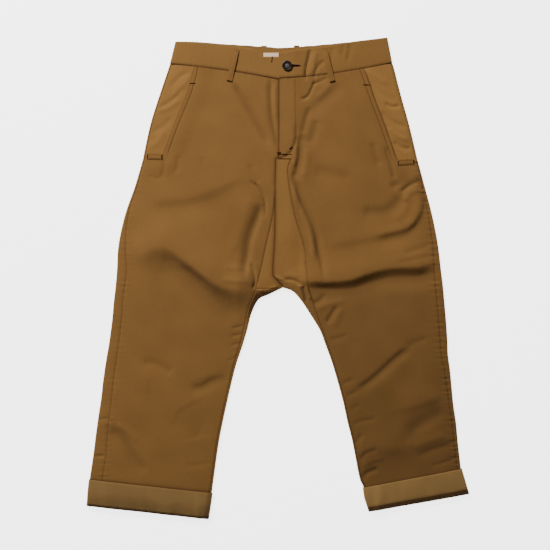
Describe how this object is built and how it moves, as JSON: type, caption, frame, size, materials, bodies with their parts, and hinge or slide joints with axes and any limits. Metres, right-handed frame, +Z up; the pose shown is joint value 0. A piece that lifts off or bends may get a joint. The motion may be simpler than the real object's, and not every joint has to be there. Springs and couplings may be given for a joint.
{
  "type": "harem trousers",
  "caption": "Drop-crotch harem trousers in tan cotton twill with a button waistband, belt loops, slant pockets, a crotch gusset and turned-up cuffs, laid flat on their back.",
  "frame": {"origin": "on the floor under the middle of the garment's outline", "axes": "+Y from the hems to the waist, +X to the wearer's left, +Z up through the front of the garment"},
  "size_m": [0.7014, 0.8814, 0.0126],
  "materials": {
    "twill": "matte cotton twill, tan",
    "facing_twill": "matte cotton twill, lighter tan",
    "cuff_twill": "matte reverse side of the twill",
    "label": "matte white woven tape",
    "button": "dark brown, semi gloss"
  },
  "bodies": {
    "root": {"front_right": "twill", "front_left": "twill", "back_right": "twill", "back_left": "twill", "gusset_right": "twill", "gusset_left": "twill", "hip_facing_right": "facing_twill", "hip_facing_left": "facing_twill", "pocket_welt_right": "twill", "pocket_welt_left": "twill", "waistband_right": "facing_twill", "waistband_left": "facing_twill", "belt_loop_front_right": "twill", "belt_loop_front_left": "twill", "belt_loop_back_right": "twill", "belt_loop_back_left": "twill", "cuff_right": "cuff_twill", "cuff_left": "cuff_twill", "label": "label", "button": "button"}
  },
  "joints": []
}
